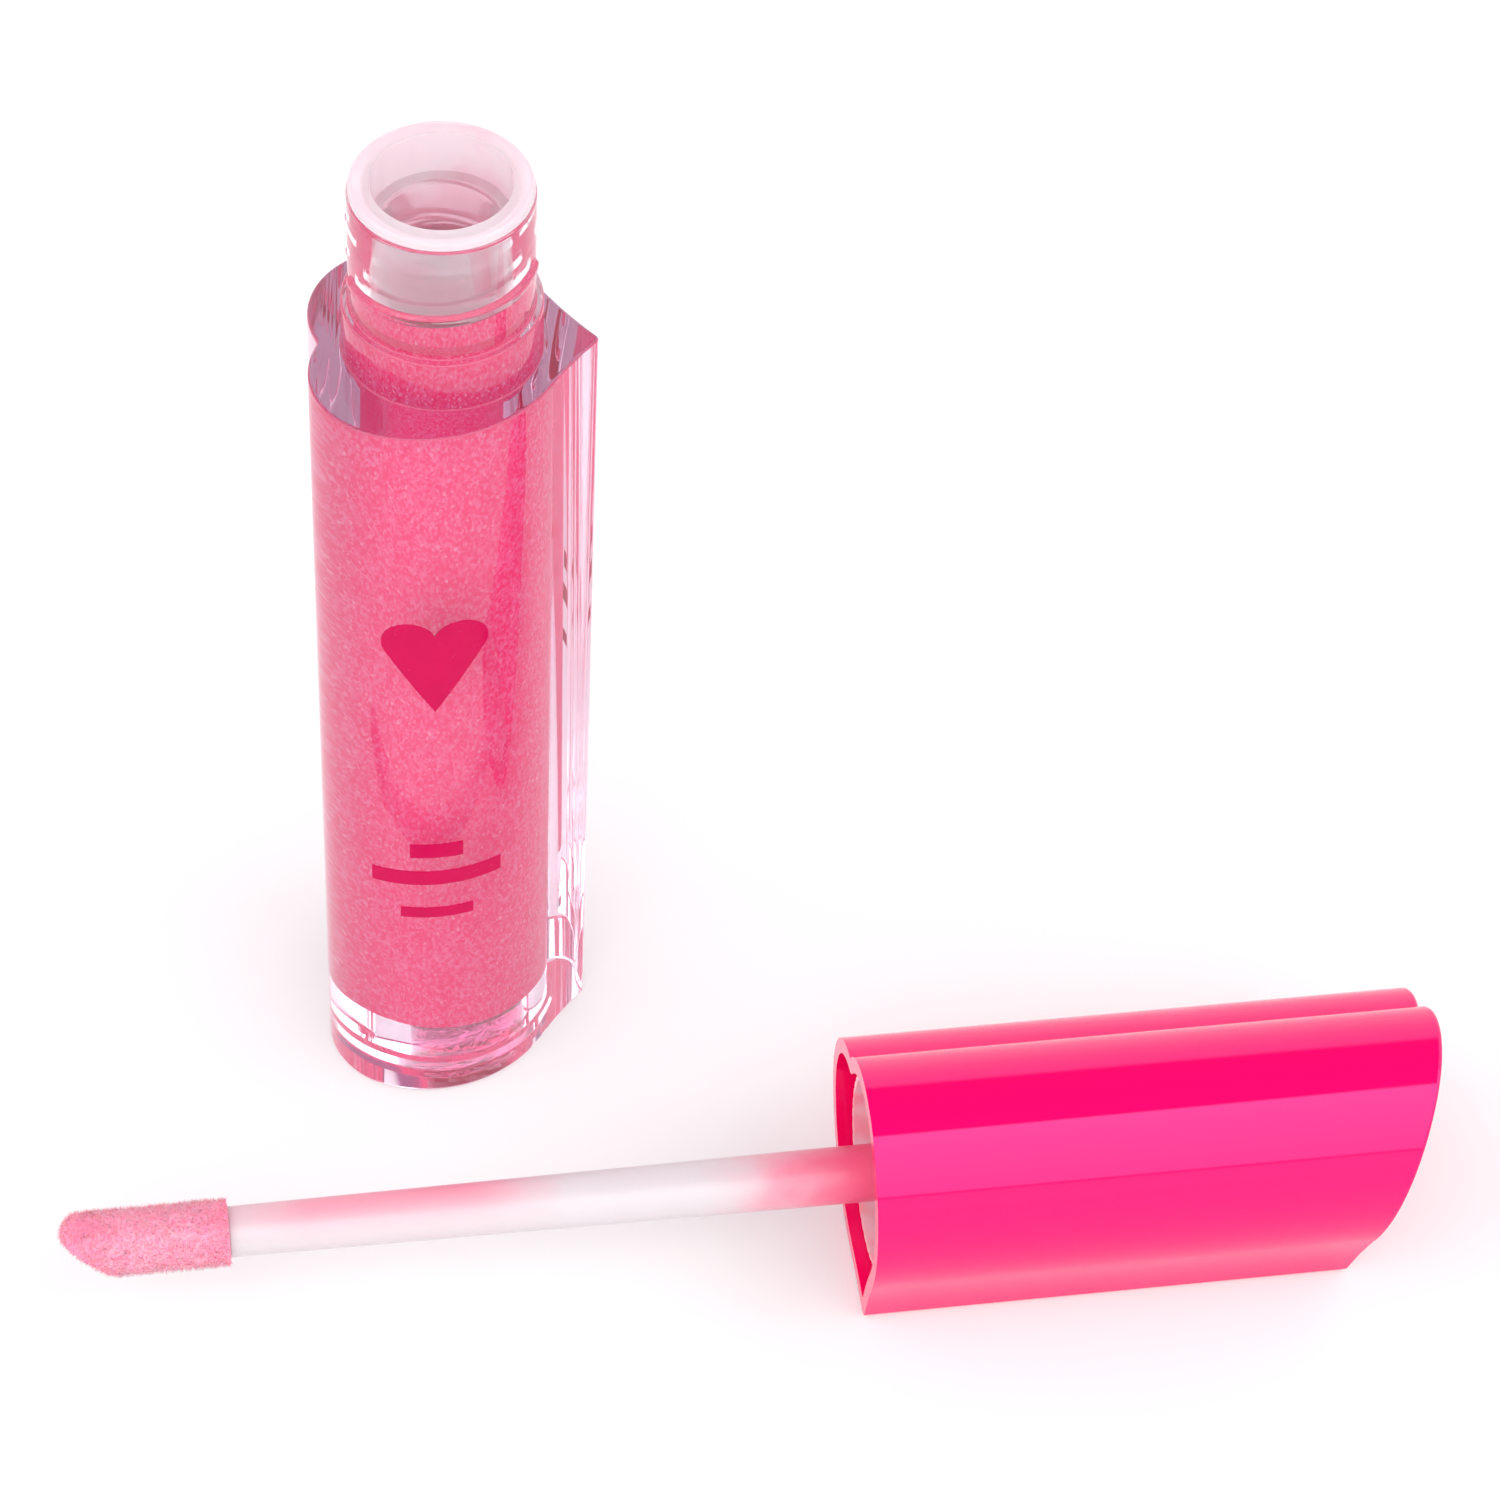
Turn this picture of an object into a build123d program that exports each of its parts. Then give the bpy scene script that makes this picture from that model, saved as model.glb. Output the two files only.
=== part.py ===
from build123d import *
from math import acos, atan2, cos, degrees, pi, radians, sin, sqrt
import os

# Lip gloss tube with its cap and wand, in millimetres.
# The tube stands open at the origin, +Z up its neck and +X towards the tip of its heart-shaped section.
# The cap lies on the same floor on one flank, with the wand pointing away from it past the tube.

# ---- tube ----
body_height = 72.3
neck_radius = 6.5
neck_height = 9.9
neck_wall = 1.0
collar_step = 0.56      # of the collar outside the neck
collar_height = 4.25
bore_radius = 4.25
bore_flare = 1.4        # height of the cone between the two bores
foot_edge = 0.35        # rounding at the base
shoulder_edge = 0.2     # rounding at the shoulder
neck_bore_radius = neck_radius - neck_wall
collar_radius = neck_radius + collar_step

# ---- heart-shaped section round the neck: arcs about centres, the same on both sides of the X axis ----
lobe_back = 2.72        # lobe centres, behind the bore's axis
lobe_side = 3.0         # lobe centres, to each side
lobe_radius = neck_radius + 0.19
lobe_sweep = 106.3      # direction in which a lobe passes into its flank, degrees
flank_radius = neck_radius + 4.05
tip_reach = neck_radius + 4.4
tip_radius = 0.5
hollow_radius = 32.9    # slightly hollow run between flank and tip
cleft_radius = 0.6
least_tip_radius = 0.4  # kept on sections that are shrunk

# ---- screw ----
thread_pitch = 3.1
thread_height = 0.3
thread_foot = 1.1       # width of a ridge at its root
thread_crest = 0.5
thread_start = 1.3      # above the collar
thread_turns = 1.5
thread_gap = 2.6        # width of the two gaps in the neck's ridge
cap_thread_turns = 1.6

# ---- base plug ----
plug_height = 4.8
plug_foot_radius = bore_radius + 0.95
plug_foot_height = 1.0
plug_chamfer = 0.4

# ---- wiper ----
wiper_flange_radius = neck_radius - 0.1
wiper_flange_height = 0.65
wiper_edge = 0.45
wiper_mouth_radius = neck_bore_radius - 0.55
wiper_step_radius = neck_bore_radius - 1.2
wiper_step_depth = 3.0  # from the rim down to the step
wiper_throat_radius = neck_bore_radius - 2.1
wiper_throat_depth = 6.9
wiper_hole_length = 1.5
wiper_wall = 0.6
wiper_cone_height = 1.3

# ---- gloss ----
gloss_gap = 0.02        # round the gloss, between it and what holds it
gloss_below_neck = 1.2  # its level, below the foot of the neck

# ---- print on the front ----
print_thickness = 0.06
print_gap = 0.01
print_x = -0.9          # middle of the print
heart_width = 7.7
heart_height = 9.2
heart_z = 49.2
bar_sizes = ((4.0, 1.5), (9.7, 1.5), (5.5, 1.1))
bar_z = (29.1, 26.0, 22.0)

# ---- cap ----
cap_overhang = 0.35     # of the cap's section outside the tube's
cap_wall = 1.2
cap_length_back = 44.6  # along the lobes' rear
cap_slant = 17.7        # of the closed end, degrees
cap_end_wall = 1.6
cap_edge = 0.3
cap_gap = 0.3           # between the cap's mouth and the shoulder when closed
rib_thickness = 1.0
rib_start = 2.6
rib_angles = (0, 62, 128, -128, -62)

# ---- liner in the cap ----
liner_wall = 0.44       # at the collar
liner_start = 1.0
flute_count = 40
flute_depth = 0.15
collar_clearance = 0.1
neck_clearance = 0.43
liner_lid = 1.2
hub_wall = 2.6
hub_height = 11.0

# ---- wand ----
wand_radius = 2.3
wand_taper = 0.38       # less radius at the applicator
wand_flange_radius = neck_radius - 0.5
wand_flange_height = 0.9
wand_plug_grip = 0.1    # of the head's ribs outside the stem
wand_plug_length = 9.0
seal_gap = 0.05
fit_gap = 0.02          # between pieces that are pressed together
wand_length = 62.2      # from the wand's flange to the foot of the applicator

# ---- applicator ----
core_radius = wand_radius - 0.25
core_shank_radius = 1.0
core_shank_length = 6.0
flock_thickness = 0.35
applicator_length = 12.5
slant_angle = 40.0      # of the applicator's slanted face to the wand's axis
slant_rise = 3.8        # length of the slanted face along the wand
applicator_round = 1.5

# ---- lying cap: where the middle of its mouth is, and which way the wand points ----
cap_x = 30.5
cap_y = -26.1
cap_heading = 4.55      # degrees

# ---- radii that follow ----
wand_end_radius = wand_radius - wand_taper
wand_plug_radius = wand_radius + wand_plug_grip
wiper_hole_radius = wand_end_radius + 0.08
liner_radius = collar_radius + collar_clearance + liner_wall
hub_radius = wand_plug_radius + hub_wall

# ---- heights that follow ----
collar_top = body_height + collar_height
rim_z = collar_top + neck_height
seal_z = rim_z + wiper_flange_height + seal_gap - body_height - cap_gap
lid_z = seal_z + wand_flange_height + fit_gap
hub_top = lid_z + liner_lid + hub_height
wand_foot = seal_z - wand_length
applicator_tip = wand_foot - applicator_length


def meeting(a, reach_a, b, reach_b):
    """The point at one distance from a and another from b, on the left of the way from a to b."""
    way = b - a
    along = (reach_a ** 2 - reach_b ** 2 + way.length ** 2) / (2 * way.length)
    across = sqrt(reach_a ** 2 - along ** 2)
    step = way.normalized()
    return a + step * along + Vector(-step.Y, step.X) * across


def heart_centres():
    """Centres of one lobe, its flank, the hollow beside the tip, the tip and the cleft."""
    lobe = Vector(-lobe_back, lobe_side)
    turn = radians(lobe_sweep)
    flank = lobe + Vector(cos(turn), sin(turn)) * (lobe_radius - flank_radius)
    tip = Vector(tip_reach - tip_radius, 0)
    hollow = meeting(flank, flank_radius + hollow_radius, tip, tip_radius + hollow_radius)
    cleft = Vector(-lobe_back - sqrt((lobe_radius + cleft_radius) ** 2 - lobe_side ** 2), 0)
    return lobe, flank, hollow, tip, cleft


def heading(a, b):
    """Direction from a to b in degrees, from 0 to 360."""
    return degrees(atan2(b.Y - a.Y, b.X - a.X)) % 360


def arc(centre, radius, start, end):
    """The arc about a centre between two directions in degrees."""
    points = [centre + Vector(radius, 0).rotate(Axis.Z, a) for a in (start, (start + end) / 2, end)]
    return ThreePointArc(*points)


def heart_face(grow=0.0):
    """The heart-shaped section, grown outward by `grow` or shrunk where it is negative."""
    lobe, flank, hollow, tip, cleft = heart_centres()
    tip_r = max(tip_radius + grow, least_tip_radius)
    hollow_r = hollow_radius - grow
    tip = Vector(hollow.X - sqrt((hollow_r + tip_r) ** 2 - hollow.Y ** 2), 0)
    rise = heading(cleft, lobe)
    turn = heading(tip, hollow)
    side = [
        arc(lobe, lobe_radius + grow, heading(lobe, cleft), lobe_sweep),
        arc(flank, flank_radius + grow, lobe_sweep, heading(flank, hollow)),
        arc(hollow, hollow_r, heading(hollow, flank), heading(hollow, tip)),
    ]
    ends = [arc(cleft, cleft_radius - grow, -rise, rise), arc(tip, tip_r, turn, -turn)]
    return make_face(side + ends + [mirror(edge, Plane.XZ) for edge in side])


def disc(radius, low, high):
    """A round piece about the axis between two heights."""
    return Pos(0, 0, low) * extrude(Circle(radius), high - low)


def turned(points):
    """The solid of revolution of an outline of (radius, height) points."""
    outline = Plane.XZ * make_face(Polyline(*points, close=True))
    return revolve(outline, Axis.Z)


def ridge(radius, height, start, turns, outward):
    """A right-hand screw ridge on a wall of the given radius, from a height upward."""
    side = 1 if outward else -1
    path = Helix(thread_pitch, thread_pitch * turns, radius)
    sunk = side * -0.25
    tall = side * height
    section = make_face(Polyline(
        (sunk, -thread_foot / 2), (0, -thread_foot / 2), (tall, -thread_crest / 2),
        (tall, thread_crest / 2), (0, thread_foot / 2), (sunk, thread_foot / 2), close=True))
    start_plane = Plane(origin=path @ 0, x_dir=(1, 0, 0), z_dir=path % 0)
    return Pos(0, 0, start) * sweep(start_plane * section, path, is_frenet=True)


def tube_body():
    """Thick-walled clear tube: heart-shaped body, round collar and threaded neck, with a through bore."""
    body = extrude(heart_face(), body_height)
    body = fillet(body.edges().group_by(Axis.Z)[-1], shoulder_edge)
    body = fillet(body.edges().group_by(Axis.Z)[0], foot_edge)
    collar = disc(collar_radius, body_height - 1, collar_top)
    collar = chamfer(collar.edges().group_by(Axis.Z)[-1], 0.2)
    neck = disc(neck_radius, collar_top - 1, rim_z)
    thread = ridge(neck_radius, thread_height, collar_top + thread_start, thread_turns, True)
    thread -= Pos(0, 0, collar_top + neck_height / 2) * Box(3 * neck_radius, thread_gap, neck_height)
    bore = turned([
        (0, -1), (plug_foot_radius, -1), (plug_foot_radius, plug_foot_height),
        (bore_radius, plug_foot_height), (bore_radius, collar_top - bore_flare / 2),
        (neck_bore_radius, collar_top + bore_flare / 2), (neck_bore_radius, rim_z + 1), (0, rim_z + 1)])
    return body + collar + neck + thread - bore


def base_plug():
    """Plug pressed into the bore from below, its foot flush with the base."""
    foot = disc(plug_foot_radius - fit_gap, 0, plug_foot_height - fit_gap)
    spigot = disc(bore_radius - fit_gap, 0, plug_height)
    return foot + chamfer(spigot.edges().group_by(Axis.Z)[-1], plug_chamfer)


def wiper():
    """Soft insert in the neck with a flange on the rim, a stepped mouth and a round wiping hole."""
    outside = neck_bore_radius - fit_gap
    throat_z = rim_z - wiper_throat_depth
    hole_top = throat_z - wiper_cone_height
    hole_low = hole_top - wiper_hole_length
    lip_radius = wiper_hole_radius + wiper_wall
    step_z = rim_z - wiper_step_depth
    body = turned([
        (wiper_mouth_radius, rim_z + wiper_flange_height),
        (wiper_flange_radius, rim_z + wiper_flange_height),
        (wiper_flange_radius, rim_z + fit_gap), (outside, rim_z + fit_gap),
        (outside, throat_z), (lip_radius, hole_top - 0.5), (lip_radius, hole_low),
        (wiper_hole_radius, hole_low), (wiper_hole_radius, hole_top),
        (wiper_throat_radius, throat_z), (wiper_throat_radius, throat_z + 0.8),
        (wiper_step_radius, step_z - 0.5), (wiper_step_radius, step_z),
        (wiper_mouth_radius, step_z + 0.2)])
    rim = body.edges().group_by(Axis.Z)[-1].sort_by(SortBy.RADIUS)
    return fillet(rim[-1], wiper_edge)


def gloss_fill():
    """The gloss in the bore, from the plug up to just under the neck."""
    return disc(bore_radius - gloss_gap, plug_height + gloss_gap, collar_top - gloss_below_neck)


def skin(shape):
    """What a flat outline, drawn across and up the front, covers as a thin print on the tube's front."""
    layer = heart_face(print_gap + print_thickness) - heart_face(print_gap)
    layer = extrude(layer, body_height)
    return layer & extrude(Plane.XZ * shape, 2 * flank_radius)


def heart_print():
    """Plain printed heart: two round lobes over a pointed foot."""
    lobe = heart_width / 4 * 1.04
    drop = heart_height - lobe
    top = heart_z + heart_height / 2 - lobe
    centre = Vector(heart_width / 2 - lobe, 0)
    reach = sqrt(centre.X ** 2 + drop ** 2)
    turn = degrees(acos(lobe / reach)) - degrees(atan2(centre.X, drop)) - 90
    right = arc(centre, lobe, degrees(acos(-centre.X / lobe)), turn)
    left = mirror(right, Plane.YZ)
    foot = Vector(0, -drop)
    outline = make_face([right, left, Line(right @ 1, foot), Line(left @ 1, foot)])
    return skin(Pos(print_x, top) * outline)


def label_bars():
    """Three plain printed bars below the heart."""
    bars = Sketch()
    for (width, height), z in zip(bar_sizes, bar_z):
        bars += Pos(print_x, z) * Rectangle(width, height)
    return skin(bars)


def under_slant(wall):
    """Everything below the cap's slanted end, less a wall's thickness."""
    reach = lobe_back + lobe_radius
    middle = Pos(-reach, 0, cap_length_back - wall / cos(radians(cap_slant)))
    block = Box(8 * reach, 8 * reach, 200, align=(Align.CENTER, Align.CENTER, Align.MAX))
    return middle * Rot(0, cap_slant, 0) * block


def cap_shell():
    """Heart-shaped outer cap: open below, closed by the slanted end, with ribs round the liner."""
    outer = extrude(heart_face(cap_overhang), cap_length_back + 10) & under_slant(0)
    outer = fillet(outer.faces().sort_by(Axis.Z)[-1].edges(), cap_edge)
    inner = extrude(heart_face(cap_overhang - cap_wall), cap_length_back + 10) & under_slant(cap_end_wall)
    rib = Pos(tip_reach, 0, rib_start) * Box(
        2 * tip_reach, rib_thickness, cap_length_back, align=(Align.CENTER, Align.CENTER, Align.MIN))
    ribs = rib
    for angle in rib_angles[1:]:
        ribs += Rot(0, 0, angle) * rib
    ribs = (ribs - disc(liner_radius + fit_gap, 0, cap_length_back + 10)) & inner
    return outer - inner + ribs


def cap_liner():
    """Fluted liner that carries the cap's thread, seals on the wiper and holds the wand's head."""
    sleeve = disc(liner_radius, liner_start, lid_z + liner_lid)
    flute_radius = 2 * pi * liner_radius / flute_count / 4
    flute = Pos(liner_radius + flute_radius - flute_depth, 0, liner_start - 1) * extrude(
        Circle(flute_radius), lid_z + liner_lid + 2)
    sleeve -= [Rot(0, 0, 360 * i / flute_count) * flute for i in range(flute_count)]
    collar_mouth = collar_radius + collar_clearance
    thread_wall = neck_radius + neck_clearance
    collar_zone = collar_height - cap_gap + 0.45
    inside = turned([
        (0, 0), (collar_mouth, 0), (collar_mouth, collar_zone), (thread_wall, collar_zone + 0.2),
        (thread_wall, lid_z), (0, lid_z)])
    hub = disc(hub_radius, lid_z + liner_lid - 0.5, hub_top)
    hole = disc(wand_plug_radius + fit_gap, 0, lid_z + liner_lid + wand_plug_length + 0.5)
    neck_start = collar_top + thread_start - body_height - cap_gap
    thread = ridge(thread_wall, thread_height + 0.03, neck_start + thread_pitch / 2, cap_thread_turns, False)
    return sleeve - inside + hub - hole + thread


def wand_stem():
    """Translucent wand: ribbed head in the liner, sealing flange and a long slightly tapered stem."""
    plug_top = lid_z + liner_lid + wand_plug_length
    stem = turned([
        (0, wand_foot), (wand_end_radius, wand_foot), (wand_radius, seal_z),
        (wand_flange_radius, seal_z), (wand_flange_radius, seal_z + wand_flange_height),
        (wand_radius, seal_z + wand_flange_height), (wand_radius, plug_top - 0.5),
        (wand_radius - 0.5, plug_top), (0, plug_top)])
    for angle in range(0, 360, 60):
        rib = Pos(wand_plug_radius / 2 - fit_gap, 0, lid_z) * Box(
            wand_plug_radius, 0.7, wand_plug_length, align=(Align.CENTER, Align.CENTER, Align.MIN))
        stem += Rot(0, 0, angle) * rib
    socket = disc(core_shank_radius + fit_gap, wand_foot - 1, wand_foot + core_shank_length + 0.5)
    return stem - socket


def applicator(grow):
    """The slanted, round-ended applicator, grown outward from the flock's outside."""
    radius = core_radius + flock_thickness + grow
    low = applicator_tip - grow
    body = disc(radius, low, wand_foot)
    body = fillet(body.edges().group_by(Axis.Z)[0], applicator_round + grow)
    slope = radians(slant_angle)
    corner = Vector(core_radius + flock_thickness, 0, applicator_tip + slant_rise)
    corner += Vector(cos(slope), 0, -sin(slope)) * grow
    cut = Box(20, 20, 20, align=(Align.MIN, Align.CENTER, Align.CENTER))
    return body - Pos(corner) * Rot(0, slant_angle, 0) * cut


def applicator_core():
    """Core of the applicator, with a shank in the end of the wand."""
    head = applicator(-flock_thickness) & disc(core_radius, applicator_tip, wand_foot - fit_gap)
    return head + disc(core_shank_radius, wand_foot - 1, wand_foot + core_shank_length)


def applicator_flock():
    """Layer of short fibres over the applicator's core."""
    inside = applicator(fit_gap - flock_thickness) & disc(core_radius + 1, applicator_tip, wand_foot - fit_gap)
    layer = applicator(0) & disc(core_radius + 1, applicator_tip, wand_foot - 4 * fit_gap)
    return layer - inside


def lying_place():
    """Place of the cap's frame when the cap rests on one flank and the tip edge."""
    lobe, flank, hollow, tip, cleft = heart_centres()
    way = tip - flank
    lean = atan2(way.Y, way.X) + acos((flank_radius - tip_radius) / way.length)
    height = tip.X * cos(lean) + tip_radius + cap_overhang
    yaw = radians(cap_heading)
    up_heart = (sin(lean) * sin(yaw), -sin(lean) * cos(yaw), -cos(lean))
    return Plane(origin=(cap_x, cap_y, height), x_dir=up_heart, z_dir=(cos(yaw), sin(yaw), 0))


standing = {
    "tube_body": tube_body,
    "base_plug": base_plug,
    "wiper": wiper,
    "gloss_fill": gloss_fill,
    "heart_print": heart_print,
    "label_bars": label_bars,
}
lying = {
    "cap_shell": cap_shell,
    "cap_liner": cap_liner,
    "wand_stem": wand_stem,
    "applicator_core": applicator_core,
    "applicator_flock": applicator_flock,
}

os.makedirs("parts", exist_ok=True)
for name, make in standing.items():
    export_step(make(), f"parts/{name}.step")
for name, make in lying.items():
    export_step(lying_place() * make(), f"parts/{name}.step")
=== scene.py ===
"""Looks of the open lip gloss tube, its cap and its wand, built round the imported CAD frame.

Everything is in metres in the frame's own axes: +Z up the neck of the tube, +X towards the tip of its
heart-shaped section, the origin on the bore's axis at the underside of the base.
"""
import bpy
import math
import numpy as np
from mathutils import Matrix, Vector


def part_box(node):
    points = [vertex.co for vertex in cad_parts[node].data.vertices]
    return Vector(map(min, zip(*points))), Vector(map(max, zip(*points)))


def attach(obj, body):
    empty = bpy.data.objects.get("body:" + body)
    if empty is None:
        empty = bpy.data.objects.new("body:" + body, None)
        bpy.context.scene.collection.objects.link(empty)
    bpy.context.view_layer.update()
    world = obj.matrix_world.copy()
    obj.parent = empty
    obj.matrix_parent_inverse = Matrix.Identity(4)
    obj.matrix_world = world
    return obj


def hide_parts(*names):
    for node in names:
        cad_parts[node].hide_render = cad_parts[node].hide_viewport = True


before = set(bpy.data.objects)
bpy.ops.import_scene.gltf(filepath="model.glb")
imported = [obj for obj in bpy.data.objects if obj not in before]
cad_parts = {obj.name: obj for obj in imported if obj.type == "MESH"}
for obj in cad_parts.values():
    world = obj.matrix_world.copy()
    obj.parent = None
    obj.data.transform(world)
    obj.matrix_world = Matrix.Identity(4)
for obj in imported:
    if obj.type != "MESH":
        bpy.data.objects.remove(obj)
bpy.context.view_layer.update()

bl_info = {
    "name": "Lip gloss tube",
    "version": (1, 0, 0),
    "blender": (4, 5, 0),
    "location": "3D Viewport > Sidebar > Gloss Tube",
    "description": "Builds the looks of an open lip gloss tube with its cap and wand",
    "category": "Add Mesh",
}

MM = 0.001
TUBE = "tube"
CAP = "cap_and_wand"
CLEAR_IOR = 1.57
# The thick clear wall turns grey when light may bounce only a few times.
LIGHT_BOUNCES = 96
FIBRES = 9000
# The way into the cap where it lies, from +X towards +Y, and the middle of its mouth in plan.
CAP_HEADING = math.radians(4.55)
CAP_MOUTH = (30.5 * MM, -26.1 * MM)
CAMERA_AT = Vector((-5.04, -255.15, 314.37)) * MM


def length(label, about, millimetres):
    """A size shown in the sidebar, given here in millimetres and kept in metres."""
    return bpy.props.FloatProperty(
        name=label, description=about, default=millimetres * MM, unit="LENGTH", precision=5)


def number(label, about, value):
    """A plain number shown in the sidebar."""
    return bpy.props.FloatProperty(name=label, description=about, default=value)


def degrees(label, about, value):
    """An angle shown in the sidebar, given here in degrees and kept in radians."""
    return bpy.props.FloatProperty(
        name=label, description=about, default=math.radians(value), unit="ROTATION")


def colour(label, about, rgb):
    """A colour shown in the sidebar."""
    return bpy.props.FloatVectorProperty(
        name=label, description=about, default=rgb, subtype="COLOR", min=0.0, max=1.0)


class TubeSizes(bpy.types.PropertyGroup):
    body_height: length("Body height", "From the floor to the shoulder", 72.3)
    collar_radius: length("Collar radius", "Round collar on the shoulder", 7.06)
    collar_height: length("Collar height", "From the shoulder to the foot of the neck", 4.25)
    neck_radius: length("Neck radius", "Outside of the neck between its ridges", 6.5)
    neck_height: length("Neck height", "From the collar to the rim", 9.9)
    neck_bore: length("Neck bore", "Radius inside the neck", 5.5)
    bore: length("Bore", "Radius of the well for the gloss", 4.25)
    flare: length("Flare", "Height of the cone between the two bores", 1.4)
    seat_radius: length("Plug seat radius", "Recess in the base for the plug's foot", 5.2)
    seat_depth: length("Plug seat depth", "Depth of that recess", 1.0)
    foot_edge: length("Foot edge", "Rounding at the base", 0.35)
    shoulder_edge: length("Shoulder edge", "Rounding at the shoulder", 0.2)
    pitch: length("Pitch", "Rise of the neck's ridge in one turn", 3.1)
    ridge_height: length("Ridge height", "How far the ridge stands out of the neck", 0.3)
    ridge_foot: length("Ridge foot", "Width of the ridge at its root", 1.1)
    ridge_crest: length("Ridge crest", "Width of the ridge at its top", 0.5)
    ridge_start: length("Ridge start", "Start of the ridge above the collar", 1.3)
    ridge_turns: number("Ridge turns", "Length of the ridge in turns", 1.5)
    ridge_gap: length("Ridge gap", "Width of the two gaps in the ridge", 2.6)


class HeartSizes(bpy.types.PropertyGroup):
    lobe_back: length("Lobe back", "Lobe centres behind the bore's axis", 2.72)
    lobe_side: length("Lobe side", "Lobe centres to each side", 3.0)
    lobe: length("Lobe radius", "Radius of the two lobes", 6.69)
    sweep: degrees("Lobe sweep", "Direction in which a lobe passes into its flank", 106.3)
    flank: length("Flank radius", "Radius of the flanks", 10.55)
    reach: length("Tip reach", "From the bore's axis to the tip", 10.9)
    tip: length("Tip radius", "Rounding of the tip", 0.5)
    hollow: length("Hollow radius", "Slightly hollow run beside the tip", 32.9)
    cleft: length("Cleft radius", "Rounding between the lobes", 0.6)


class GlossLooks(bpy.types.PropertyGroup):
    deep: colour("Deep pink", "Gloss between its shimmer", (1.0, 0.070, 0.225))
    shimmer: colour("Shimmer pink", "Gloss where its shimmer is thick", (1.0, 0.235, 0.43))
    overlap: length("Overlap", "How far the gloss wets into the wall of the well", 0.02)
    film_height: length("Film height", "Gloss left round the wiper, above the foot of the neck", 2.75)
    fleck: number("Fleck scale", "Flecks to the metre", 3400.0)
    spark: colour("Spark", "The few brightest flecks", (1.0, 0.62, 0.72))
    bubble: colour("Bubble", "Small bubbles under the collar", (1.0, 0.62, 0.70))


class PlasticLooks(bpy.types.PropertyGroup):
    clear: colour("Clear plastic", "Tint of the thick clear wall", (0.955, 0.79, 0.92))
    # Painted shade: a dark mauve laid on the flat shoulder, standing in for the dark inner reflections of the
    # thick clear wall.
    shoulder: colour("Shoulder", "Tint of the flat shoulder", (0.60, 0.30, 0.52))
    neck: colour("Neck", "Tint of the clear neck", (1.0, 0.95, 0.975))
    # Painted reflection: gloss pink laid on the plug's foot, standing in for the band of pink gloss reflected
    # in the base.
    foot: colour("Plug foot", "Foot of the plug in the base", (0.95, 0.06, 0.22))
    wetted: colour("Wetted fit", "Tint of the plug where its press fit is wetted", (0.90, 0.88, 1.0))
    wiper: colour("Wiper", "Tint of the soft insert in the neck", (1.0, 0.89, 0.935))
    smear: colour("Wiper smear", "Gloss left on the wiper in patches", (1.0, 0.42, 0.58))
    cap: colour("Cap pink", "Solid pink of the cap", (0.94, 0.0005, 0.105))
    liner: colour("Liner", "Pale liner in the cap", (0.93, 0.62, 0.68))
    liner_stain: colour("Liner stain", "Gloss drying on the liner", (0.97, 0.36, 0.47))
    wand: colour("Wand white", "Natural plastic of the wand", (0.57, 0.53, 0.55))
    stain: colour("Wand stain", "Gloss drying on the wand", (0.80, 0.12, 0.24))
    ink: colour("Print ink", "Printed heart and bars", (0.52, 0.0, 0.07))
    flock: colour("Flock", "Fibres of the applicator", (0.98, 0.24, 0.38))


class StageLooks(bpy.types.PropertyGroup):
    floor: colour("Floor", "Pale floor under the tube", (0.60, 0.60, 0.60))
    glow: number("Floor glow", "Light coming up through the floor, as on a light table", 0.23)
    floor_drop: length("Floor drop", "Hair of air between the clear base and the floor", 0.05)
    overhead: number("Overhead", "Brightness straight above", 0.28)
    shade: colour("Overhead shade", "Colour of the dark strip straight above", (1.0, 0.42, 0.90))
    sides: number("Sides", "Brightness of the two sheets high on the left and right", 1.5)
    wall: number("Wall", "Brightness of the wall behind", 1.25)
    panel: number("Panel", "Brightness of the panel in front", 2.85)
    edge: number("Panel edge", "Brightness of the gap under the panel", 0.7)
    low_front: number("Low front", "Brightness of the room low in front", 1.25)
    lens: number("Lens", "Focal length on a 36 mm sensor", 120.3)
    elevation: degrees("Elevation", "How far the camera looks down", 48.06)
    turn: degrees("Turn", "Camera heading from +Y towards +X", 6.34)
    roll: degrees("Roll", "Camera turned about its own axis", 3.48)


# ---------------------------------------------------------------- meshes

def closed_mesh(name, points, quads, triangles=None):
    """A mesh object from arrays of points, four-sided faces and triangles, turned outward if the volume that
    they enclose is negative."""
    quads = np.asarray(quads, np.int64).reshape(-1, 4)
    triangles = np.asarray([] if triangles is None else triangles, np.int64).reshape(-1, 3)
    split = np.vstack([quads[:, [0, 1, 2]], quads[:, [0, 2, 3]], triangles])
    a, b, c = points[split[:, 0]], points[split[:, 1]], points[split[:, 2]]
    if np.einsum("ij,ij->i", a, np.cross(b, c)).sum() < 0:
        quads, triangles = quads[:, ::-1], triangles[:, ::-1]
    mesh = bpy.data.meshes.new(name)
    mesh.vertices.add(len(points))
    mesh.vertices.foreach_set("co", points.astype(np.float32).ravel())
    loops = np.concatenate([quads.ravel(), triangles.ravel()])
    sizes = np.concatenate([np.full(len(quads), 4), np.full(len(triangles), 3)])
    mesh.loops.add(len(loops))
    mesh.loops.foreach_set("vertex_index", loops.astype(np.int32))
    mesh.polygons.add(len(sizes))
    mesh.polygons.foreach_set("loop_start", (np.cumsum(sizes) - sizes).astype(np.int32))
    mesh.polygons.foreach_set("use_smooth", np.ones(len(sizes), bool))
    mesh.update(calc_edges=True)
    mesh.validate()
    piece = bpy.data.objects.new(name, mesh)
    bpy.context.scene.collection.objects.link(piece)
    return piece


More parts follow.
